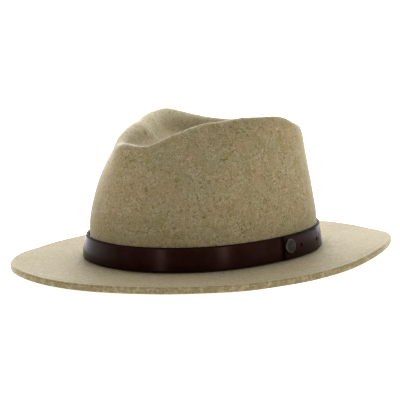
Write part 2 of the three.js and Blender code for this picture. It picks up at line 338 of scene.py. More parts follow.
@dataclass(frozen=True)
class FeltFinish:
    """Heathered felt: brown, grey-green and olive wool under dark and pale fibres, with a short nap."""

    name: str
    brown: Colour = (0.335, 0.250, 0.128)
    grey_green: Colour = (0.312, 0.260, 0.136)
    olive: Colour = (0.268, 0.218, 0.085)
    dark_fibre: Colour = (0.110, 0.082, 0.040)
    pale_fibre: Colour = (0.610, 0.510, 0.320)
    # painted highlight: this paler tone is blended in along the crest and up the dent's sides, where light
    # falls
    painted_highlight_tone: Colour = (0.760, 0.680, 0.480)
    cut_tone: Colour = (0.215, 0.172, 0.072)
    # random darker patches, and painted shade on the brim beside the band
    mottle_and_shade_tone: Colour = (0.150, 0.112, 0.040)

    clouds: Pattern = Pattern(60, 3, 0.6, low=0.42, high=0.62)
    olive_clouds: Pattern = Pattern(95, 3, 0.6, 0.3, (0.7, 2.2, 1.3), low=0.5, high=0.66)
    clusters: Pattern = Pattern(120, 2, 0.5, 0.0, (5.0, 0.3, 2.4), low=0.38, high=0.6)
    flecks: Pattern = Pattern(470, 3, 0.7, 0.7, low=0.53, high=0.64)
    specks: Pattern = Pattern(1000, 2, 0.6, 0.4, low=0.55, high=0.68)
    curls: Pattern = Pattern(210, 3, 0.65, 1.6, (3.1, 1.7, 0.4))
    glints: Pattern = Pattern(620, 3, 0.7, 1.0, (1.9, 4.1, 0.9), low=0.57, high=0.68)
    patches: Pattern = Pattern(260, 3, 0.6, 0.4, (2.0, 0.6, 3.3), low=0.5, high=0.62)
    grit: Pattern = Pattern(620, 3, 0.6, 0.4, (0.4, 3.1, 1.8))
    fibre_ends: Pattern = Pattern(900, 3, 0.75, 0.5, low=0.40, high=0.58)
    fray: Pattern = Pattern(700, 2, 0.5)
    fine_pile: Pattern = Pattern(2600, 4, 0.75, 1.5)
    tufts: Pattern = Pattern(900, 3, 0.6, 0.6, low=0.3, high=0.7)
    coarse_pile: Pattern = Pattern(300, 2, 0.5)

    olive_share: float = 0.75
    cluster_least: float = 0.25
    dark_share: float = 0.85
    speck_share: float = 0.595
    pale_share: float = 0.55
    curl_width: float = 0.024
    painted_highlight_share: float = 0.9
    patch_weight: float = 2.4
    grit_weight: float = 1.6
    mottle_and_shade_from: float = 2.15
    mottle_and_shade_full: float = 2.75
    mottle_and_shade_share: float = 0.9
    fibre_end_share: float = 0.9
    cut_pale_share: float = 0.5
    fray_weight: float = 0.5
    cut_from: float = 1.35
    cut_full: float = 1.6
    cut_share: float = 0.85
    relief_mm: float = 0.35
    relief_strength: float = 0.6
    least_rough: float = 0.86
    sheen: float = 0.80
    sheen_roughness: float = 0.30
    sheen_tint: Colour = (0.93, 0.86, 0.69)
    gloss: float = 0.15

    def heather(self, graph: SurfaceGraph) -> Socket:
        """Mixes the wool's tones and its stray fibres.

        Args:
            graph: The graph to build in.

        Returns:
            The output that holds the colour.
        """
        base = graph.blend(graph.shown(self.clouds), self.brown, self.grey_green)
        base = graph.blend(graph.shown(self.olive_clouds, 0.0, self.olive_share), base, self.olive)
        clusters = graph.shown(self.clusters, self.cluster_least)
        flecks = graph.shown(self.flecks, 0.0, self.dark_share)
        base = graph.blend(graph.times(flecks, clusters), base, self.dark_fibre)
        base = graph.blend(graph.shown(self.specks, 0.0, self.speck_share), base, self.dark_fibre)
        curls = graph.lines(graph.noise(self.curls), self.curl_width, self.pale_share)
        base = graph.blend(graph.times(curls, clusters), base, self.pale_fibre)
        return graph.blend(graph.shown(self.glints, 0.0, self.pale_share), base, self.pale_fibre)

    def pressed(self, graph: SurfaceGraph, base: Socket, patches: Socket) -> Socket:
        """Darkens the felt in random patches, and paints shade on the brim, most of all beside the band.

        Args:
            graph: The graph to build in.
            base: The felt's colour.
            patches: The patches' noise.

        Returns:
            The output that holds the colour.
        """
        grit = graph.noise(self.grit)
        # the shade mask paints shade beside the band; the patches and grit add random darker mottling
        terms = ((graph.mask("shade"), 1.0), (patches, self.patch_weight), (grit, self.grit_weight))
        part = graph.spread(graph.sum(*terms), self.mottle_and_shade_from, self.mottle_and_shade_full, 0.0, self.mottle_and_shade_share)
        return graph.blend(part, base, self.mottle_and_shade_tone)

    def cut(self, graph: SurfaceGraph, base: Socket, patches: Socket) -> Socket:
        """Shows the fibres' ends on the brim's cut edge, with a ragged border to the nap.

        Args:
            graph: The graph to build in.
            base: The felt's colour.
            patches: The patches' noise.

        Returns:
            The output that holds the colour.
        """
        cut_base = graph.blend(graph.shown(self.fibre_ends, 0.0, self.fibre_end_share), base, self.cut_tone)
        pale = graph.spread(patches, self.patches.low, self.patches.high, 0.0, self.cut_pale_share)
        cut_base = graph.blend(pale, cut_base, self.pale_fibre)
        fray = graph.noise(self.fray)
        ragged = graph.sum((graph.mask("cut"), 1.0), (patches, 1.0), (fray, self.fray_weight))
        part = graph.spread(ragged, self.cut_from, self.cut_full, 0.0, self.cut_share)
        return graph.blend(part, base, cut_base)

    def pile(self, graph: SurfaceGraph) -> None:
        """Roughens the surface with the pile's relief.

        Args:
            graph: The graph to build in.
        """
        fine = graph.noise(self.fine_pile)
        tufts = graph.noise(self.tufts)
        coarse = graph.noise(self.coarse_pile)
        height = graph.sum((fine, 0.35), (tufts, 0.45), (coarse, 0.7))
        graph.bump(height, self.relief_mm, self.relief_strength)
        rough = graph.spread(tufts, self.tufts.low, self.tufts.high, self.least_rough)
        graph.join(rough, graph.shader.inputs["Roughness"])

    def material(self) -> bpy.types.Material:
        """Builds the material.

        Returns:
            The felt's material.
        """
        graph = SurfaceGraph(self.name)
        # painted highlight along the crest and up the dent's sides, read from the mesh's highlight mask
        highlight_part = graph.spread(graph.mask("painted_highlight"), 0.0, 1.0, 0.0, self.painted_highlight_share)
        base = graph.blend(highlight_part, self.heather(graph), self.painted_highlight_tone)
        patches = graph.noise(self.patches)
        # random darker mottling, and painted shade on the brim beside the band
        base = self.pressed(graph, base, patches)
        base = self.cut(graph, base, patches)
        graph.join(base, graph.shader.inputs["Base Color"])
        self.pile(graph)
        graph.shine(Sheen_Weight=self.sheen, Sheen_Roughness=self.sheen_roughness)
        graph.shine(Sheen_Tint=self.sheen_tint, Specular_IOR_Level=self.gloss)
        return graph.material


@dataclass(frozen=True)
class LeatherFinish:
    """Smooth dark leather with a fine grain, darker burnished edges and faint handling marks."""

    name: str
    tone: Colour = (0.0215, 0.0062, 0.0042)
    other_tone: Colour = (0.032, 0.0095, 0.0065)
    edge_tone: Colour = (0.006, 0.0028, 0.0022)
    mottle: Pattern = Pattern(75, 4, 0.6, low=0.38, high=0.66)
    swelling: Pattern = Pattern(420, 3, 0.55)
    smudges: Pattern = Pattern(130, 4, 0.65, low=0.3, high=0.7)
    pores_per_metre: float = 1500
    pore_size: float = 0.32
    pore_share: float = 0.5
    wrinkles_per_metre: float = 1150
    wrinkle_width: float = 0.16
    edge_share: float = 0.85
    grain_mm: float = 0.03
    grain_strength: float = 0.5
    roughness: float = 0.15
    smudge_roughness: float = 0.08
    edge_roughness: float = 0.5
    gloss: float = 0.035
    gloss_tint: Colour = (0.8, 0.5, 0.4)

    def material(self) -> bpy.types.Material:
        """Builds the material.

        Returns:
            The leather's material.
        """
        graph = SurfaceGraph(self.name)
        base = graph.blend(graph.shown(self.mottle), self.tone, self.other_tone)
        middles = graph.cells(self.pores_per_metre, CellDistance.MIDDLE)
        pores = graph.spread(middles, 0.0, self.pore_size, 1.0, 0.0)
        base = graph.blend(graph.spread(pores, 0.6, 1.0, 0.0, self.pore_share), base, self.edge_tone)
        edge = graph.mask("edge")
        base = graph.blend(graph.spread(edge, 0.35, 1.0, 0.0, self.edge_share), base, self.edge_tone)
        graph.join(base, graph.shader.inputs["Base Color"])
        borders = graph.cells(self.wrinkles_per_metre, CellDistance.EDGE)
        wrinkles = graph.spread(borders, 0.0, self.wrinkle_width)
        height = graph.sum((wrinkles, 0.55), (pores, -0.3), (graph.noise(self.swelling), 0.5))
        graph.bump(height, self.grain_mm, self.grain_strength)
        smudges = graph.shown(self.smudges, self.roughness, self.roughness + self.smudge_roughness)
        rough = graph.sum((smudges, 1.0), (edge, self.edge_roughness))
        graph.join(rough, graph.shader.inputs["Roughness"])
        graph.shine(Specular_IOR_Level=self.gloss, Specular_Tint=self.gloss_tint)
        return graph.material


@dataclass(frozen=True)
class MetalFinish:
    """Dark antique metal, brighter where its high places are rubbed."""

    name: str
    tone: Colour = (0.028, 0.025, 0.020)
    rubbed_tone: Colour = (0.17, 0.16, 0.14)
    tarnish: Pattern = Pattern(700, 4, 0.65, low=0.35, high=0.7)
    scratches: Pattern = Pattern(500, 3, 0.6, 0.0, (0.2, 0.3, 0.1), (1.0, 1.0, 9.0))
    rubbed_from: float = 0.3
    relief_mm: float = 0.05
    relief_strength: float = 0.5
    least_rough: float = 0.3
    most_rough: float = 0.5
    metal: float = 0.9

    def material(self) -> bpy.types.Material:
        """Builds the material.

        Returns:
            The metal's material.
        """
        graph = SurfaceGraph(self.name)
        tarnish = graph.shown(self.tarnish)
        rubbed = graph.sum((graph.mask("edge"), 0.75), (tarnish, 0.3))
        base = graph.blend(graph.spread(rubbed, self.rubbed_from, 1.0), self.tone, self.rubbed_tone)
        graph.join(base, graph.shader.inputs["Base Color"])
        relief = graph.sum((tarnish, 0.5), (graph.noise(self.scratches), 0.5))
        graph.bump(relief, self.relief_mm, self.relief_strength)
        rough = graph.spread(tarnish, 0.0, 1.0, self.least_rough, self.most_rough)
        graph.join(rough, graph.shader.inputs["Roughness"])
        graph.shine(Metallic=self.metal)
        return graph.material


@dataclass(frozen=True)
class FloorFinish:
    """Plain pale studio floor, a light table that glows faintly."""

    name: str = "studio_floor"
    glow: float = 0.95
    tone: Colour = (0.90, 0.90, 0.91)
    clouds: Pattern = Pattern(1.5, 2, 0.5, low=0.3, high=0.7)
    cloud_tone: float = 0.995
    roughness: float = 0.8
    gloss: float = 0.1

    def material(self) -> bpy.types.Material:
        """Builds the material.

        Returns:
            The floor's material.
        """
        graph = SurfaceGraph(self.name)
        slightly_darker = tuple(self.cloud_tone * channel for channel in self.tone)
        base = graph.blend(graph.shown(self.clouds), self.tone, slightly_darker)
        graph.join(base, graph.shader.inputs["Base Color"])
        graph.shine(Roughness=self.roughness, Specular_IOR_Level=self.gloss)
        graph.shine(Emission_Strength=self.glow, Emission_Color=self.tone)
        return graph.material


# Curves round the hat


class RingTable:
    """Named values by direction, evened out into smooth curves round the hat."""

    STEPS = 720
    EVENED_DEGREES = 3.5

    def __init__(self, columns: tuple[str, ...], rows: tuple[tuple[float, ...], ...]) -> None:
        """Turns the rows into smooth curves.

        Args:
            columns: The columns' names, with the direction first.
            rows: A row for each direction. Rows that end at 180 degrees hold for both sides.
        """
        data = np.array(rows, dtype=float)
        turn = np.arange(self.STEPS) * 360.0 / self.STEPS
        mirrored = data[-1, 0] == 180.0
        at = np.where(turn > 180.0, 360.0 - turn, turn) if mirrored else turn
        passes = round(2 * (self.EVENED_DEGREES * self.STEPS / 360.0) ** 2)
        self.curves = {}
        for index, name in enumerate(columns[1:], start=1):
            curve = self.hermite(data[:, 0], data[:, index], at)
            for _ in range(passes):
                curve = 0.25 * np.roll(curve, 1) + 0.5 * curve + 0.25 * np.roll(curve, -1)
            self.curves[name] = np.append(curve, curve[0])

    @staticmethod
    def hermite(rows_at: np.ndarray, values: np.ndarray, at: np.ndarray) -> np.ndarray:
        """Reads a smooth curve through the rows, flat at its two ends.

        Args:
            rows_at: The rows' directions.
            values: The rows' values.
            at: Where to read.

        Returns:
            The curve's values.
        """
        slopes = np.zeros_like(values)
        slopes[1:-1] = (values[2:] - values[:-2]) / (rows_at[2:] - rows_at[:-2])
        row = np.clip(np.searchsorted(rows_at, at, side="left") - 1, 0, len(rows_at) - 2)
        span = rows_at[row + 1] - rows_at[row]
        part = (at - rows_at[row]) / span
        rest = 1 - part
        before = values[row] * rest**2 * (1 + 2 * part)
        after = values[row + 1] * part**2 * (1 + 2 * rest)
        return before + after + span * part * rest * (slopes[row] * rest - slopes[row + 1] * part)

    def read(self, column: str, degrees: np.ndarray) -> np.ndarray:
        """Reads a column's value in each of some directions."""
        turn = np.linspace(0.0, 360.0, self.STEPS + 1)
        return np.interp(np.mod(degrees, 360.0), turn, self.curves[column])


# The crest: its distance from the middle, its level, its roundness, how late the wall bends in
# towards it, and how far the dent's side slopes down from it
CREST = RingTable(
    ("at", "reach", "level", "round", "bend", "slope"),
    (
        (0, 90, 103.6, 6, 2.2, 42),
        (11, 85.5, 100.2, 4.4, 2.0, 40),
        (20, 76, 107.6, 3.4, 2.0, 36),
        (30, 65.5, 113.2, 3.0, 2.2, 32.5),
        (45, 56, 118.3, 3.0, 2.6, 28),
        (60, 53.6, 120.0, 3.8, 3.0, 26),
        (80, 57, 123.0, 5.8, 3.4, 27.5),
        (95, 65.5, 123.2, 9, 3.4, 32),
        (110, 74.5, 122.6, 12, 3, 32),
        (125, 81.0, 115.2, 16.5, 3, 34),
        (150, 86.8, 108.0, 16.5, 3, 42),
        (180, 89.0, 106.4, 14, 3, 46),
    ),
)
# What the wearer's right side adds to the crest's level and roundness, and to the width of its painted
# highlight
RIGHT_CREST = RingTable(
    ("at", "level", "round", "painted_highlight"),
    (
        (0, 0, 3.5, 1),
        (16, 0, 0.5, 0),
        (40, 0, 0, 0),
        (180, 0, 0, 0),
        (205, 0.8, 0, 1),
        (222, 1.7, 0.5, 4),
        (240, 4.1, 2, 7),
        (262, 0.1, 4, 8),
        (295, -1.7, 7.5, 8),
        (320, -1.8, 10, 7),
        (345, -0.4, 8, 4),
        (360, 0, 3.5, 1),
    ),
)
# The brim's width, and how far its edge lifts off the table
BRIM = RingTable(
    ("at", "width", "lift"),
    (
        (0, 70.85, 2.6),
        (30, 66.5, 1.2),
        (60, 58.8, -0.85),
        (90, 57.2, 0.8),
        (130, 60.6, 5.3),
        (158, 68, 1.3),
        (180, 70.85, -0.95),
    ),
)
# Height of the lip along the brim's edge, and how far it reaches past the brim's width
LIP = RingTable(
    ("at", "height", "reach"),
    (
        (0, 5.4, 1.0),
        (90, 5.4, 1.0),
        (115, 4.9, 0.6),
        (135, 4.0, 0.2),
        (160, 3.0, 0),
        (200, 2.6, 0),
        (270, 2.9, 0),
        (300, 3.3, 0),
        (322, 3.8, -1.3),
        (342, 5.1, 0.6),
        (360, 5.4, 1.0),
    ),
)


@dataclass(frozen=True)
class Hump:
    """A smooth hump round the hat, highest in one direction and 0 away from it.

    Attributes:
        at: Where it is highest.
        width: How far to each side it has fallen to about a third.
        height: Its height there.
    """

    at: float
    width: float
    height: float = 1.0

    def over(self, degrees: np.ndarray) -> np.ndarray:
        """Its height in each of some directions."""
        away = np.mod(degrees - self.at + 180.0, 360.0) - 180.0
        return self.height * np.exp(-((away / self.width) ** 2))


LIP_HUMPS = (
    Hump(335, 30, 1.6),
    Hump(268, 25, -0.7),
    Hump(165, 22, -0.6),
    Hump(38, 24, 1.3),
    Hump(145, 14, 1.0),
    Hump(312, 14, 0.8),
)


@dataclass(frozen=True)
class Rumple:
    """Smooth unevenness in space, the same each time.

    Attributes:
        size: Size of its features.
        seed: Picks one of many patterns.
        height: Its greatest height, about.
    """

    size: float
    seed: float
    height: float

    def over(self, points: np.ndarray) -> np.ndarray:
        """Its height at each point.

        Args:
            points: The points.

        Returns:
            The heights.
        """
        shift = Vector((self.seed, 0.37 * self.seed, -0.61 * self.seed))
        values = [noise.noise(Vector(point) + shift) for point in points.reshape(-1, 3) / self.size]
        return self.height * np.array(values).reshape(points.shape[:-1])


def crest_level(degrees: np.ndarray) -> np.ndarray:
    """Level of the crest's top, which differs a little between the two sides."""
    return CREST.read("level", degrees) + RIGHT_CREST.read("level", degrees)


def placed(degrees: np.ndarray, reach: np.ndarray, level: np.ndarray) -> np.ndarray:
    """Turns directions, distances from the middle and levels into points, with x, y and z last."""
    angle = np.radians(degrees)
    return np.stack(np.broadcast_arrays(reach * np.sin(angle), -reach * np.cos(angle), level), axis=-1)


@dataclass(frozen=True)
class CrownShape:
    """The outside of the crown's wall, from the brim up to the crest."""

    oval_front: float = 102.2
    oval_side: float = 86.7
    fullness: float = 0.025
    break_level: float = 4.2
    foot_flare: float = 2.2
    flare_top: float = 25.0
    taper_start: float = 34.0
    wall_taper: float = 0.165

    def oval_reach(self, degrees: np.ndarray) -> np.ndarray:
        """Distance from the middle to the wall just above the band.

        Args:
            degrees: The directions.

        Returns:
            The distances.
        """
        angle = np.radians(degrees)
        ellipse = 1 / np.hypot(np.sin(angle) / self.oval_side, np.cos(angle) / self.oval_front)
        return ellipse * (1 + self.fullness * np.sin(2 * angle) ** 2)

    def wall_reach(self, degrees: np.ndarray, level: np.ndarray) -> np.ndarray:
        """Distance from the middle to the wall at a level.

        Args:
            degrees: The directions.
            level: The levels.

        Returns:
            The distances.
        """
        flare = self.foot_lean() * np.maximum(0, self.flare_top - level)
        rise = np.maximum(0, level - self.taper_start)
        crest_rise = crest_level(degrees) - self.taper_start
        oval = self.oval_reach(degrees)
        pinch = oval - self.wall_taper * crest_rise - CREST.read("reach", degrees)
        pinched = pinch * (rise / crest_rise) ** CREST.read("bend", degrees)
        return oval + flare - self.wall_taper * rise - pinched

    def foot_lean(self) -> float:
        """How far the wall leans out for each millimetre down behind the band."""
        return self.foot_flare / (self.flare_top - self.break_level)

    def foot_reach(self, degrees: np.ndarray) -> np.ndarray:
        """Distance from the middle to the crown's foot, in each direction."""
        return self.wall_reach(degrees, np.full_like(degrees, self.break_level))


CROWN = CrownShape()


# Meshes


def capped_rings(grid: np.ndarray, first: Triple, last: Triple) -> tuple[np.ndarray, Faces]:
    """Closes a grid of rings with a point at each end.

    Args:
        grid: The points, with a closed ring in each row.
        first: The point before the first ring.
        last: The point after the last ring.

    Returns:
        The points from end to end, and the faces, wound for rows that go down and columns that go round.
    """
    rows, columns = grid.shape[:2]
    points = np.concatenate([[first], grid.reshape(-1, 3), [last]])
    end = len(points) - 1
    last_ring = end - columns
    faces = []
    for row in range(rows - 1):
        here = 1 + row * columns
        below = here + columns
        for column in range(columns):
            beside = (column + 1) % columns
            faces.append((here + column, below + column, below + beside, here + beside))
    for column in range(columns):
        beside = (column + 1) % columns
        faces.append((0, 1 + column, 1 + beside))
        faces.append((end, last_ring + beside, last_ring + column))
    return points, faces


def capped_values(values: np.ndarray, first: float = 0.0, last: float = 0.0) -> np.ndarray:
    """Lists a value for each point of capped rings, from the first end to the last."""
    return np.concatenate([[first], values.ravel(), [last]])


def make_piece(
    name: str,
    points: np.ndarray,
    faces: Faces,
    material: bpy.types.Material,
    masks: dict[str, np.ndarray],
    sharp_degrees: float = 180.0,
) -> bpy.types.Object:
    """Makes a smooth-shaded object from points in millimetres.

    Args:
        name: The piece's name.
        points: The points.
        faces: The faces, as indices of the points.
        material: The piece's finish.
        masks: Values at the points that the finish reads.
        sharp_degrees: Edges that bend more than this stay sharp.

    Returns:
        The object.
    """
    mesh = bpy.data.meshes.new(name)
    mesh.from_pydata((points * MM).tolist(), [], faces)
    mesh.materials.append(material)
    for key, values in masks.items():
        layer = mesh.attributes.new(key, "FLOAT", "POINT")
        layer.data.foreach_set("value", np.asarray(values, dtype=np.float32))
    mesh.shade_smooth()
    if sharp_degrees < 180.0:
        mesh.set_sharp_from_angle(angle=math.radians(sharp_degrees))
    mesh.validate()
    piece = bpy.data.objects.new(name, mesh)
    bpy.context.scene.collection.objects.link(piece)
    return piece


# The felt


@dataclass(frozen=True)
class FeltRows:
    """How many rows of points each stretch of the felt's section has, from the dent outwards."""

    dent: int = 34
    crest: int = 16
    wall: int = 40
    foot: int = 10
    brim: int = 30
    roll: int = 24
    edge: int = 6


@dataclass
class FeltBody:
    """Crown and brim, blocked from one piece of felt."""

    finish: FeltFinish
    rows: FeltRows = FeltRows()
    directions: int = 360
    crown_wall: float = 2.4
    brim_wall: float = 3.0

    # The crest and the dent
    corner_rise: float = 0.52
    soft_rise: float = 0.68
    shoulder_depth: float = 1.35
    dent_floor: float = 94.0
    dent_crowding: float = 0.8
    row_evenings: int = 3
    dent_settlings: int = 420
    settled_round: float = 0.7
    held_rows: int = 3
    fading_rows: int = 8

    # The brim and its edge
    break_radius: float = 1.6
    brim_curl: float = 1.15
    edge_roll: float = 8.0
    edge_stand: float = 2.7
    lip_rest: float = 2.67
    lip_power: int = 12
    edge_corner: float = 1.1
    groove_inset: float = 5.0
    groove_half: float = 1.1
    groove_depth: float = 0.14
    under_evenings: int = 10

    # Unevenness of the crown above a level, and waves in the brim
    uneven: Rumple = Rumple(34.0, 4.2, 0.3)
    finely_uneven: Rumple = Rumple(13.0, 9.1, 0.105)
    uneven_from: float = 26.0
    uneven_fade: float = 20.0
    waves: Rumple = Rumple(60.0, 2.7, 0.5)

    # Where the finish shows the painted highlight on the crest and in the dent, the cut fibres, and the
    # painted shade beside the band
    highlight_spread: float = 1.6
    dent_highlight: float = 0.22
    dent_highlight_start: float = 6.0
    dent_highlight_above_floor: float = 3.0
    dent_highlight_rise: float = 10.0
    cut_spread: float = 3.0
    shade_spread: float = 9.0

    turn: np.ndarray = field(init=False)

    def __post_init__(self) -> None:
        """Works out the directions of the mesh's sections."""
        self.turn = np.arange(self.directions) * 360.0 / self.directions

    def bezier(self, ends: list[np.ndarray], steps: int) -> np.ndarray:
        """Points on a corner that is rounded between two shoulders.

        Args:
            ends: The first shoulder, the corner and the second shoulder, each as (reach, level) by direction.
            steps: Number of steps from shoulder to shoulder.

        Returns:
            The points, one row for each step but the last.
        """
        part = np.linspace(0, 1, steps, endpoint=False)[:, None, None]
        first, corner, second = ends
        return (1 - part) ** 2 * first + 2 * part * (1 - part) * corner + part**2 * second

    def dent_point(self, distance: np.ndarray, corner_level: np.ndarray) -> np.ndarray:
        """Points of the dent's side.

        Args:
            distance: Distance from the middle in each direction.
            corner_level: Level of the crest's corner in each direction.

        Returns:
            The points as (reach, level) by direction.
        """
        below_crest = CREST.read("reach", self.turn) - distance
        climb = np.maximum(0, 1 - below_crest / CREST.read("slope", self.turn))
        level = self.dent_floor + (corner_level - self.dent_floor) * climb**2
        return np.stack([distance, level], axis=-1)

    def wall_point(self, level: np.ndarray) -> np.ndarray:
        """Points of the wall as (reach, level), at a level in each direction."""
        return np.stack([CROWN.wall_reach(self.turn, level), level], axis=-1)

    def crown_section(self) -> np.ndarray:
        """The dent's side, the crest and the wall down to the brim.

        Returns:
            The rows as (reach, level) by direction.
        """
        reach = CREST.read("reach", self.turn)
        softer = RIGHT_CREST.read("round", self.turn)
        pinched = CREST.read("round", self.turn)
        rounding = pinched + softer
        corner_level = crest_level(self.turn) + self.corner_rise * pinched + self.soft_rise * softer
        inner = reach - rounding
        outer = corner_level - self.shoulder_depth * rounding
        steps = (np.arange(1, self.rows.dent) / self.rows.dent) ** self.dent_crowding
        dent = [self.dent_point(step * inner, corner_level) for step in steps]
        corner = np.stack([reach, corner_level], axis=-1)
        ends = [self.dent_point(inner, corner_level), corner, self.wall_point(outer)]
        crest = self.bezier(ends, self.rows.crest)
        foot_level = CROWN.break_level + self.break_radius
        drop = np.linspace(0, 1, self.rows.wall, endpoint=False)
        wall = [self.wall_point(outer + (foot_level - outer) * step) for step in drop]
        return np.concatenate([np.array(dent), crest, np.array(wall)])

    def brim_section(self) -> np.ndarray:
        """The corner at the crown's foot and the brim out to the rounded corner of its lip.

        Returns:
            The rows as (reach, level) by direction.
        """
        foot = CROWN.foot_reach(self.turn)
        low = np.full_like(self.turn, CROWN.break_level)
        beside_foot = np.stack([foot + self.break_radius, low], axis=-1)
        ends = [self.wall_point(low + self.break_radius), np.stack([foot, low], axis=-1), beside_foot]
        corner = self.bezier(ends, self.rows.foot)
        further = LIP.read("reach", self.turn) - self.edge_corner
        full = BRIM.read("width", self.turn) + further
        roll = self.edge_roll + further
        inner = np.linspace(0, 1, self.rows.brim, endpoint=False)[:, None]
        outer = np.linspace(0, 1, self.rows.roll)[:, None]
        inner_reach = self.break_radius + (full - roll - self.break_radius) * inner
        reach = np.concatenate([inner_reach, full - roll + roll * outer])
        climb = self.lip_bottom() + LIP.read("height", self.turn) - low
        level = low + climb * (reach / full) ** self.brim_curl
        return np.concatenate([corner, np.stack([foot + reach, level], axis=-1)])

    def lip_bottom(self) -> np.ndarray:
        """Level of the brim's lower edge in each direction."""
        uneven = sum(hump.over(self.turn) for hump in LIP_HUMPS)
        return np.maximum(0, BRIM.read("lift", self.turn) + self.edge_stand - self.lip_rest + uneven)

    def soften(self, rows: np.ndarray, passes: int) -> np.ndarray:
        """Evens out the bends from row to row, and keeps the first and last row.

        Args:
            rows: Rows of points.
            passes: How often.

        Returns:
            The evened rows.
        """
        soft = rows.copy()
        for _ in range(passes):
            soft[1:-1] = 0.25 * soft[:-2] + 0.5 * soft[1:-1] + 0.25 * soft[2:]
        return soft

    def relaxed(self, level: np.ndarray) -> np.ndarray:
        """Lets the dent's surface settle between its rounded crests, as hand-shaped felt does.

        Args:
            level: The crown's levels by row and direction.

        Returns:
            The settled levels.
        """
        from_crest = self.rows.dent - self.held_rows - np.arange(len(level))
        share = np.clip(from_crest / self.fading_rows, 0, 1)[:, None]
        settled = level.copy()
        for _ in range(self.dent_settlings):
            around = 0.5 * (np.roll(settled, 1, axis=1) + np.roll(settled, -1, axis=1))
            along = settled.copy()
            along[1:-1] = 0.5 * (settled[:-2] + settled[2:])
            settled += share * (self.settled_round * around + (1 - self.settled_round) * along - settled)
        return settled

    def normals(self, points: np.ndarray) -> np.ndarray:
        """Outward directions of a grid of points whose rows are closed rings.

        Args:
            points: The grid.

        Returns:
            A unit vector for each point.
        """
        along = np.gradient(points, axis=0)
        around = np.roll(points, -1, axis=1) - np.roll(points, 1, axis=1)
        normal = np.cross(along, around)
        return normal / np.linalg.norm(normal, axis=-1, keepdims=True)

    def upper_side(self) -> np.ndarray:
        """The felt's upper side, from near the middle of the dent to the cut edge.

        Returns:
            A grid of points with a row for each step outwards.
        """
        crown = self.soften(self.crown_section(), self.row_evenings)
        crown[:, :, 1] = self.relaxed(crown[:, :, 1])
        rows = np.concatenate([crown, self.brim_section()])
        points = placed(self.turn[None, :], rows[..., 0], rows[..., 1])
        first_brim_row = len(rows) - self.rows.brim - self.rows.roll
        out = np.clip((np.arange(len(rows)) - first_brim_row) / self.rows.brim, 0, 1)[:, None]
        crown_share = (out == 0) * np.clip((rows[..., 1] - self.uneven_from) / self.uneven_fade, 0, 1)
        uneven = self.uneven.over(points) + self.finely_uneven.over(points)
        points = points + self.normals(points) * (uneven * crown_share)[..., None]
        lifted = np.clip(BRIM.read("lift", self.turn), 0, 1)[None, :]
        points[..., 2] += self.waves.over(points) * out * lifted
        return points

    def under_side(self, upper: np.ndarray) -> np.ndarray:
        """The felt's underside, a wall's thickness inside the upper side.

        Args:
            upper: The upper side.

        Returns:
            The underside, with the same rows.
        """
        out = np.clip(self.from_foot(upper) / BRIM.read("width", self.turn)[None, :], 0, 1)
        lip = (LIP.read("height", self.turn) - self.brim_wall) * out**self.lip_power
        wall = self.crown_wall + (self.brim_wall - self.crown_wall) * out + lip
        under = upper - self.normals(upper) * wall[..., None]
        crown_rows = self.crown_rows()
        under[:crown_rows] = self.soften(under[:crown_rows], self.under_evenings)
        under[..., 2] = np.maximum(0, under[..., 2])
        return under

    def crown_rows(self) -> int:
        """Number of rows down to the first one of the corner at the crown's foot."""
        return self.rows.dent + self.rows.crest + self.rows.wall

    def from_foot(self, points: np.ndarray) -> np.ndarray:
        """How far points are outside the crown's foot."""
        return np.hypot(points[..., 0], points[..., 1]) - CROWN.foot_reach(self.turn)[None, :]

    def lip_inset(self, points: np.ndarray) -> np.ndarray:
        """How far points are inside the lip's outer face."""
        width = BRIM.read("width", self.turn) + LIP.read("reach", self.turn)
        return width[None, :] - self.from_foot(points)

    def grooved(self, points: np.ndarray) -> np.ndarray:
        """Presses a fine groove into the brim's top, just inside its lip.

        Args:
            points: The upper side.

        Returns:
            The upper side with the groove.
        """
        from_groove = self.lip_inset(points) - self.groove_inset
        pressed = points.copy()
        pressed[..., 2] -= self.groove_depth * np.exp(-((from_groove / self.groove_half) ** 2))
        return pressed

    def cut_edge(self, above: np.ndarray, below: np.ndarray) -> np.ndarray:
        """The brim's upright cut edge between its two rounded corners.

        Args:
            above: The upper side's last row of points.
            below: The underside's last row of points.

        Returns:
            The rows between them, from above to below.
        """
        outward = self.edge_corner * placed(self.turn, 1.0, 0.0)
        downward = self.edge_corner * (below - above) / np.linalg.norm(below - above, axis=-1, keepdims=True)
        angles = np.radians(np.linspace(0, 90, self.rows.edge))
        rows = []
        for angle in angles[1:]:
            rows.append(above + outward * math.sin(angle) + downward * (1 - math.cos(angle)))
        for angle in angles[:-1]:
            rows.append(below + outward * math.cos(angle) - downward * (1 - math.sin(angle)))
        return np.array(rows)

    def crest_highlight(self, upper: np.ndarray) -> np.ndarray:
        """Where the felt gets a painted highlight: most along the crest, and a little in the dent, fading out
        towards its floor.

        Args:
            upper: The upper side.

        Returns:
            A value for each point, 1 on the crest's highest line.
        """
        reach = np.hypot(upper[..., 0], upper[..., 1])
        top_row = np.argmax(upper[..., 2], axis=0)
        top_reach = reach[top_row, np.arange(len(self.turn))]
        spread = self.highlight_spread + RIGHT_CREST.read("painted_highlight", self.turn)
        crest = np.exp(-(((reach - top_reach) / spread) ** 2))
        inside = np.clip((top_reach - reach) / self.dent_highlight_start, 0, 1)
        risen = np.clip((upper[..., 2] - self.dent_floor - self.dent_highlight_above_floor) / self.dent_highlight_rise, 0, 1)
        return np.maximum(crest, self.dent_highlight * inside * risen)

    def masks(self, upper: np.ndarray, all_rows: int) -> dict[str, np.ndarray]:
        """The values that the finish reads, which are 0 on the underside.

        Args:
            upper: The upper side.
            all_rows: Number of rows of the whole piece.

        Returns:
            A value for each point, by the mask's name.
        """
        rows = len(upper)
        edge_rows = 2 * (self.rows.edge - 1)
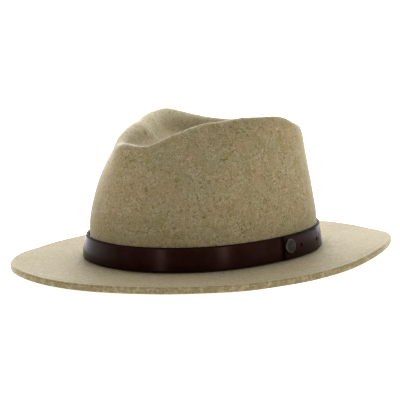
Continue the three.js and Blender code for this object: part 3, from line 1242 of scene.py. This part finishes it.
        # painted highlight along the crest and in the dent
        painted_highlight = np.zeros((all_rows, self.directions))
        painted_highlight[:rows] = self.crest_highlight(upper)
        cut = np.zeros_like(painted_highlight)
        cut[:rows] = np.clip(1 - (self.lip_inset(upper) - self.edge_corner) / self.cut_spread, 0, 1)
        cut[rows : rows + edge_rows] = 1.0
        # painted shade on the brim, fading outwards from the crown's foot beside the band
        shade = np.zeros_like(painted_highlight)
        from_foot = np.maximum(0, self.from_foot(upper))[self.crown_rows() :]
        shade[self.crown_rows() : rows] = np.exp(-from_foot / self.shade_spread)
        return {"painted_highlight": capped_values(painted_highlight), "cut": capped_values(cut), "shade": capped_values(shade)}

    def build(self) -> bpy.types.Object:
        """Makes the felt in place of its solid.

        Returns:
            The piece.
        """
        upper = self.upper_side()
        under = self.under_side(upper)
        edge = self.cut_edge(upper[-1], under[-1])
        thinned = under[::-1][::2]
        grid = np.concatenate([self.grooved(upper), edge, thinned])
        under_floor = self.dent_floor - self.crown_wall
        points, faces = capped_rings(grid, (0, 0, self.dent_floor), (0, 0, under_floor))
        masks = self.masks(upper, len(grid))
        piece = make_piece("felt_crown_and_brim", points, faces, self.finish.material(), masks)
        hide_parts("felt_body")
        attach(piece, "root")
        return piece


# The leather


@dataclass(frozen=True)
class LeatherStrip:
    """A strip of leather that stands on the crown's wall, with rounded edges."""

    thick: float
    foot: float
    top: float
    lift: float
    edge_round: float = 0.55
    back_round: float = 0.25
    edge_wear: float = 1.3
    face_steps: int = 16
    corner_steps: int = 5
    sharp_degrees: float = 50.0

    def corners(self) -> np.ndarray:
        """The rounded corners of the strip's cross-section.

        Returns:
            The points as (up, out), in a closed loop.
        """
        height = self.top - self.foot
        # Where each corner is, its radius and the angle that it starts at
        corners = (
            (0.0, 0.0, self.back_round, 270),
            (0.0, self.thick, self.edge_round, 180),
            (height, self.thick, self.edge_round, 90),
            (height, 0.0, self.back_round, 0),
        )
        loop = []
        for up, out, size, start in corners:
            centre_up = size if up == 0 else up - size
            centre_out = size if out == 0 else out - size
            for step in range(self.corner_steps + 1):
                angle = math.radians(start - 90.0 * step / self.corner_steps)
                loop.append((centre_up + size * math.cos(angle), centre_out + size * math.sin(angle)))
        return np.array(loop)

    def outline(self) -> tuple[np.ndarray, np.ndarray, np.ndarray]:
        """The strip's cross-section as a closed loop, with points across its two faces.

        Returns:
            How far up its width, how far out of its back, and how near to an edge each point is, from 0 to 1.
        """
        height = self.top - self.foot
        loop = self.corners()
        points = []
        for index, here in enumerate(loop):
            after = loop[(index + 1) % len(loop)]
            points.append(here)
            is_face = abs(after[0] - here[0]) > 0.5 * height
            if is_face:
                for step in range(1, self.face_steps):
                    points.append(here + (after - here) * step / self.face_steps)
        full = np.array(points)
        from_edge = np.minimum(full[:, 0], height - full[:, 0])
        return full[:, 0] / height, full[:, 1], self.wear(from_edge)

    def wear(self, from_edge: np.ndarray) -> np.ndarray:
        """How near to an edge points are, from 0 to 1, by their distance from it."""
        return np.clip(1 - from_edge / self.edge_wear, 0, 1)

    def grid(
        self, turn: np.ndarray, trim: np.ndarray, stand_off: Callable[[np.ndarray, np.ndarray], np.ndarray]
    ) -> tuple[np.ndarray, np.ndarray]:
        """Bends the cross-section round the crown.

        Args:
            turn: The directions of the sections.
            trim: How much the width is cut back on both edges in each.
            stand_off: How far the leather stands off the wall, by direction and part of the width.

        Returns:
            The grid of points and the nearness to an edge at each.
        """
        up, out, edge = self.outline()
        foot = self.foot + trim[:, None]
        level = foot + (self.top - self.foot - 2 * trim[:, None]) * up[None, :]
        away = stand_off(turn[:, None], np.broadcast_to(up[None, :], level.shape))
        wall = CROWN.wall_reach(np.broadcast_to(turn[:, None], level.shape), level)
        points = placed(turn[:, None], wall + self.lift + out + away, level)
        return points, np.broadcast_to(edge, level.shape)

    def piece(
        self, name: str, points: np.ndarray, edge: np.ndarray, finish: LeatherFinish
    ) -> bpy.types.Object:
        """Makes a piece from its grid and closes its two ends.

        Args:
            name: The piece's name.
            points: The grid, with a closed loop for each section.
            edge: Nearness to an edge at each point.
            finish: The piece's finish.

        Returns:
            The piece.
        """
        full, faces = capped_rings(points, points[0].mean(axis=0), points[-1].mean(axis=0))
        masks = {"edge": capped_values(edge, 1.0, 1.0)}
        return make_piece(name, full, faces, finish.material(), masks, self.sharp_degrees)


@dataclass
class LeatherBand:
    """The band round the foot of the crown, loose at the front right and slightly wavy."""

    finish: LeatherFinish
    strip: LeatherStrip = LeatherStrip(thick=2.0, foot=5.2, top=24.4, lift=0.3)
    joint_at: float = 107.0
    joint_gap: float = 1.2
    sections: int = 520
    loose: Hump = Hump(318, 24)
    loose_up: tuple[float, ...] = (0.0, 0.12, 0.3, 0.7, 1.0)
    loose_out: tuple[float, ...] = (2.6, 3.0, 2.9, 1.7, 0.9)
    ripples: int = 9
    ripple_start: float = 0.6
    ripple_drift: float = 1.3
    ripple_drifts: int = 4
    ripple_out: float = 0.22

    def stand_off(self, turn: np.ndarray, up: np.ndarray) -> np.ndarray:
        """How far the band stands off the felt.

        Args:
            turn: The directions.
            up: The parts of the width.

        Returns:
            The distances.
        """
        loose = np.interp(up, self.loose_up, self.loose_out) * self.loose.over(turn)
        angle = np.radians(turn)
        drift = self.ripple_drift * np.sin(self.ripple_drifts * angle)
        ripple = 0.5 + 0.5 * np.sin(self.ripples * angle + self.ripple_start + drift)
        return loose + self.ripple_out * ripple * np.sin(math.pi * up)

    def build(self) -> bpy.types.Object:
        """Makes the band in place of its solid.

        Returns:
            The piece.
        """
        foot = float(CROWN.foot_reach(np.array([self.joint_at]))[0])
        half_gap = math.degrees(0.5 * self.joint_gap / foot)
        turn = np.linspace(self.joint_at + half_gap, self.joint_at + 360 - half_gap, self.sections)
        points, edge = self.strip.grid(turn, np.zeros_like(turn), self.stand_off)
        piece = self.strip.piece("leather_band", points, edge, self.finish)
        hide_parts("band_strap")
        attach(piece, "root")
        return piece


@dataclass
class LeatherTab:
    """The tab over the band's joint, with a square front end and a bluntly pointed back end."""

    finish: LeatherFinish
    strip: LeatherStrip = LeatherStrip(thick=1.6, foot=5.4, top=24.2, lift=2.6)
    front_at: float = 89.5
    point_at: float = 124.0
    point_length: float = 6.0
    point_cut: float = 5.7
    front_round: float = 0.8
    front_cut: float = 0.35
    swell: float = 0.12
    sections: int = 120
    holes_at: tuple[float, float] = (103.5, 120.5)
    hole_radius: float = 1.5
    punch_sides: int = 28
    punch_depth: float = 6.0

    def stand_off(self, turn: np.ndarray, up: np.ndarray) -> np.ndarray:
        """How far the tab swells out over its width, the same in every direction."""
        return self.swell * np.sin(math.pi * up) + np.zeros_like(turn)

    def build(self) -> bpy.types.Object:
        """Makes the tab in place of its solid.

        Returns:
            The piece.
        """
        foot = float(CROWN.foot_reach(np.array([self.front_at]))[0])
        length = foot * math.radians(self.point_at - self.front_at)
        part = np.linspace(0, 1, self.sections)
        turn = self.front_at + (self.point_at - self.front_at) * part
        point = np.clip(1 - (1 - part) * length / self.point_length, 0, 1)
        front = np.clip(1 - part * length / self.front_round, 0, 1)
        trim = self.point_cut * point**2 + self.front_cut * front**2
        points, edge = self.strip.grid(turn, trim, self.stand_off)
        from_end = np.minimum(part, 1 - part) * length
        edge = np.maximum(edge, self.strip.wear(from_end)[:, None])
        piece = self.strip.piece("leather_tab", points, edge, self.finish)
        self.punch(piece)
        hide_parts("band_tab")
        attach(piece, "root")
        return piece

    def punch(self, piece: bpy.types.Object) -> None:
        """Cuts the two round holes.

        Args:
            piece: The tab.
        """
        level = 0.5 * (self.strip.foot + self.strip.top)
        for degrees in self.holes_at:
            here = np.array([degrees])
            reach = CROWN.wall_reach(here, np.array([level])) + self.strip.lift + 0.5 * self.strip.thick
            outward = Vector(placed(here, 1.0, 0.0)[0])
            bpy.ops.mesh.primitive_cylinder_add(
                vertices=self.punch_sides,
                radius=self.hole_radius * MM,
                depth=self.punch_depth * MM,
                location=Vector(placed(here, reach, level)[0] * MM),
                rotation=outward.to_track_quat("Z", "Y").to_euler(),
            )
            cutter = bpy.context.object
            cut = piece.modifiers.new("hole", "BOOLEAN")
            cut.operation = "DIFFERENCE"
            cut.object = cutter
            bpy.context.view_layer.objects.active = piece
            bpy.ops.object.modifier_apply(modifier=cut.name)
            bpy.data.objects.remove(cutter)


# The badge


@dataclass
class Badge:
    """A plain oval metal plate with a raised, finely notched rim."""

    # Rows from the plate's back over its rim to its middle: distance in from its edge, height above
    # its back, depth of the rim's notches, and wear
    ROWS = (
        (0.15, 0.00, 0.00, 0.00),
        (0.00, 0.15, 0.00, 0.20),
        (0.00, 1.15, 0.05, 0.60),
        (0.15, 1.38, 0.10, 1.00),
        (0.40, 1.48, 0.12, 1.00),
        (0.75, 1.50, 0.12, 1.00),
        (1.05, 1.42, 0.08, 0.80),
        (1.25, 1.20, 0.00, 0.30),
        (1.40, 1.02, 0.00, 0.00),
        (1.70, 0.98, 0.00, 0.00),
        (1.95, 1.04, 0.00, 0.25),
        (2.15, 1.10, 0.00, 0.45),
        (2.40, 1.08, 0.00, 0.25),
        (3.20, 1.16, 0.00, 0.15),
        (4.40, 1.26, 0.00, 0.20),
        (5.40, 1.31, 0.00, 0.25),
        (5.95, 1.33, 0.00, 0.25),
    )

    finish: MetalFinish
    at: float = 93.5
    level: float = 16.2
    width: float = 12.4
    height: float = 11.4
    base: float = 4.5
    notches: int = 44
    notch_dullness: float = 0.6
    sides: int = 176
    sharp_degrees: float = 55.0

    def build(self) -> bpy.types.Object:
        """Makes the badge in place of its solid.

        Returns:
            The piece.
        """
        angle = np.arange(self.sides) * 2 * math.pi / self.sides
        notch = 0.5 - 0.5 * np.cos(angle * self.notches)
        rings = []
        wear = []
        for inset, height, depth, worn in self.ROWS:
            reach = 0.5 * self.width - inset
            x = reach * np.cos(angle)
            y = reach * np.sin(angle) * self.height / self.width
            rings.append(np.stack([x, y, height - depth * notch], axis=-1))
            wear.append(worn * (1 - self.notch_dullness * notch * (depth > 0)))
        top = self.ROWS[-1][1]
        top_wear = self.ROWS[-1][3]
        points, inward = capped_rings(np.array(rings), (0, 0, 0), (0, 0, top))
        faces = [tuple(reversed(face)) for face in inward]
        masks = {"edge": capped_values(np.array(wear), 0.0, top_wear)}
        stood = self.stood(points)
        piece = make_piece("badge_plate", stood, faces, self.finish.material(), masks, self.sharp_degrees)
        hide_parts("badge")
        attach(piece, "root")
        return piece

    def stood(self, points: np.ndarray) -> np.ndarray:
        """Stands the plate on the tab, squarely out of the leaning wall.

        Args:
            points: The plate's points, lying flat.

        Returns:
            The points in the hat's frame.
        """
        here = np.array([self.at])
        reach = float(CROWN.wall_reach(here, np.array([self.level]))[0]) + self.base
        across = placed(here + 90, 1.0, 0.0)[0]
        outward = placed(here, 1.0, 0.0)[0]
        upright = np.array([0, 0, 1.0])
        slant = math.atan(CROWN.foot_lean())
        up = math.cos(slant) * upright - math.sin(slant) * outward
        normal = math.cos(slant) * outward + math.sin(slant) * upright
        origin = placed(here, reach, self.level)[0]
        return origin + points @ np.array([across, up, normal])


# The studio


class Lamp(Enum):
    """What a soft box is for."""

    FILL = "lights the felt and is not mirrored in the leather"
    STREAK = "is mirrored in the leather and adds no other light"


@dataclass(frozen=True)
class SoftBox:
    """A soft rectangular lamp that faces the hat, with sizes in metres and its power in watts."""

    name: str
    use: Lamp
    turn: float
    elevation: float
    width: float
    height: float
    power: float


@dataclass(frozen=True)
class Sun:
    """Soft light from a wide part of the sky, with its direction and spread in degrees."""

    name: str
    turn: float
    elevation: float
    spread: float
    energy: float


SUNS = (
    Sun("back_light", 225.0, 42.0, 84.0, 3.6),
    Sun("rim_light", 225.0, 13.0, 26.0, 2.2),
)
SOFT_BOXES = (
    SoftBox("top_light", Lamp.FILL, 45.0, 72.0, 1.2, 1.2, 4.5),
    SoftBox("side_light_right", Lamp.FILL, 130.0, 18.0, 0.9, 0.7, 8.8),
    SoftBox("side_light_left", Lamp.FILL, -42.0, 22.0, 0.9, 0.7, 3.6),
    SoftBox("strip_left", Lamp.STREAK, 13.0, 6.0, 0.08, 0.5, 12.0),
    SoftBox("strip_right", Lamp.STREAK, 81.0, 6.0, 0.08, 0.5, 12.0),
)


@dataclass
class Studio:
    """Floor, light and camera, with distances in metres."""

    floor_half: float = 60.0
    camera_turn: float = 45.0
    camera_elevation: float = 8.75
    camera_distance: float = 1.2
    target_height: float = 0.05
    pixels_per_mm: float = 1.17
    frame_pixels: float = 400.0
    target_pixel: tuple[float, float] = (203.6, 196.3)
    roll_degrees: float = -1.76
    sensor_mm: float = 36.0
    nearest: float = 0.05
    farthest: float = 200.0
    lamp_distance: float = 2.2
    dark_side: float = 0.14
    pale_side: float = 0.9
    pale_elevation: float = -15.0
    pale_from: float = 0.9
    white_from: float = 0.5
    warm: Colour = (1.0, 0.93, 0.80)
    cool: Colour = (0.90, 0.94, 1.0)

    def floor(self) -> bpy.types.Object:
        """Lays the pale floor.

        Returns:
            The floor.
        """
        half = self.floor_half
        corners = [(-half, -half, 0), (half, -half, 0), (half, half, 0), (-half, half, 0)]
        mesh = bpy.data.meshes.new("studio_floor")
        mesh.from_pydata(corners, [], [(0, 1, 2, 3)])
        mesh.materials.append(FloorFinish().material())
        floor = bpy.data.objects.new("studio_floor", mesh)
        bpy.context.scene.collection.objects.link(floor)
        return floor

    def direction(self, turn: float, elevation: float) -> Vector:
        """Direction of a place round the hat.

        Args:
            turn: Where it is round the hat.
            elevation: How many degrees it is above the level.

        Returns:
            The unit vector towards it.
        """
        along = math.cos(math.radians(elevation))
        angle = math.radians(turn)
        return Vector((math.sin(angle) * along, -math.cos(angle) * along, math.sin(math.radians(elevation))))

    def target(self) -> Vector:
        """The point that camera and lamps face."""
        return Vector((0, 0, self.target_height))

    def camera(self) -> bpy.types.Object:
        """Sets up the camera at the photograph's angle.

        Returns:
            The camera.
        """
        data = bpy.data.cameras.new("camera")
        data.sensor_width = self.sensor_mm
        focal_pixels = self.pixels_per_mm * self.camera_distance / MM
        data.lens = self.sensor_mm * focal_pixels / self.frame_pixels
        middle = 0.5 * self.frame_pixels
        data.shift_x = (middle - self.target_pixel[0]) / self.frame_pixels
        data.shift_y = (self.target_pixel[1] - middle) / self.frame_pixels
        data.clip_start = self.nearest
        data.clip_end = self.farthest
        camera = bpy.data.objects.new("camera", data)
        bpy.context.scene.collection.objects.link(camera)
        back = self.direction(self.camera_turn, self.camera_elevation)
        level = (-back).to_track_quat("-Z", "Y").to_matrix().to_4x4()
        roll = Matrix.Rotation(math.radians(self.roll_degrees), 4, "Z")
        camera.matrix_world = Matrix.Translation(self.target() + back * self.camera_distance) @ level @ roll
        bpy.context.scene.camera = camera
        return camera

    def hang(self, data: bpy.types.Light, turn: float, elevation: float) -> bpy.types.Object:
        """Hangs a light so that it faces the hat.

        Args:
            data: The light.
            turn: Its direction round the hat.
            elevation: Its elevation.

        Returns:
            The light's object.
        """
        towards = self.direction(turn, elevation)
        lamp = bpy.data.objects.new(data.name, data)
        lamp.location = self.target() + towards * self.lamp_distance
        lamp.rotation_euler = (-towards).to_track_quat("-Z", "Y").to_euler()
        bpy.context.scene.collection.objects.link(lamp)
        return lamp

    def add_sun(self, sun: Sun) -> None:
        """Adds a sun.

        Args:
            sun: The sun.
        """
        data = bpy.data.lights.new(sun.name, "SUN")
        data.energy = sun.energy
        data.color = self.cool
        data.angle = math.radians(sun.spread)
        self.hang(data, sun.turn, sun.elevation)

    def add_soft_box(self, box: SoftBox) -> None:
        """Adds a soft box.

        Args:
            box: The soft box.
        """
        data = bpy.data.lights.new(box.name, "AREA")
        data.shape = "RECTANGLE"
        data.size = box.width
        data.size_y = box.height
        data.energy = box.power
        lamp = self.hang(data, box.turn, box.elevation)
        lamp.visible_glossy = box.use is Lamp.STREAK
        lamp.visible_diffuse = box.use is Lamp.FILL

    def surroundings(self) -> None:
        """Sets up a studio that is white behind the hat, and warm and dark on the camera's side."""
        world = bpy.data.worlds.new("surroundings")
        world.use_nodes = True
        graph = Graph(world.node_tree)
        background = graph.nodes["Background"]
        along = graph.nodes.new("ShaderNodeVectorMath")
        along.operation = "DOT_PRODUCT"
        along.inputs[1].default_value = self.direction(self.camera_turn + 180.0, self.pale_elevation)
        ways = graph.nodes.new("ShaderNodeTexCoord")
        graph.join(ways.outputs["Generated"], along.inputs[0])
        behind = along.outputs["Value"]
        strength = graph.spread(behind, 0.0, self.pale_from, self.dark_side, self.pale_side)
        graph.join(strength, background.inputs["Strength"])
        tint = graph.blend(graph.spread(behind, 0.0, self.white_from), self.warm, WHITE)
        graph.join(tint, background.inputs["Color"])
        bpy.context.scene.world = world

    def build(self) -> None:
        """Sets up floor, camera and light, and how colours are shown."""
        self.floor()
        self.camera()
        self.surroundings()
        for sun in SUNS:
            self.add_sun(sun)
        for box in SOFT_BOXES:
            self.add_soft_box(box)
        bpy.context.scene.view_settings.view_transform = "Standard"


def main() -> None:
    """Builds the hat's pieces in order, then the studio."""
    logging.basicConfig(level=logging.INFO, format="%(name)s: %(message)s")
    pieces = (
        FeltBody(FeltFinish("heathered_felt")),
        LeatherBand(LeatherFinish("band_leather")),
        LeatherTab(LeatherFinish("tab_leather", other_tone=(0.028, 0.0085, 0.0065))),
        Badge(MetalFinish("dark_pewter")),
    )
    for piece in pieces:
        made = piece.build()
        LOG.info("%s has %d faces", made.name, len(made.data.polygons))
    Studio().build()


if __name__ == "__main__":
    main()
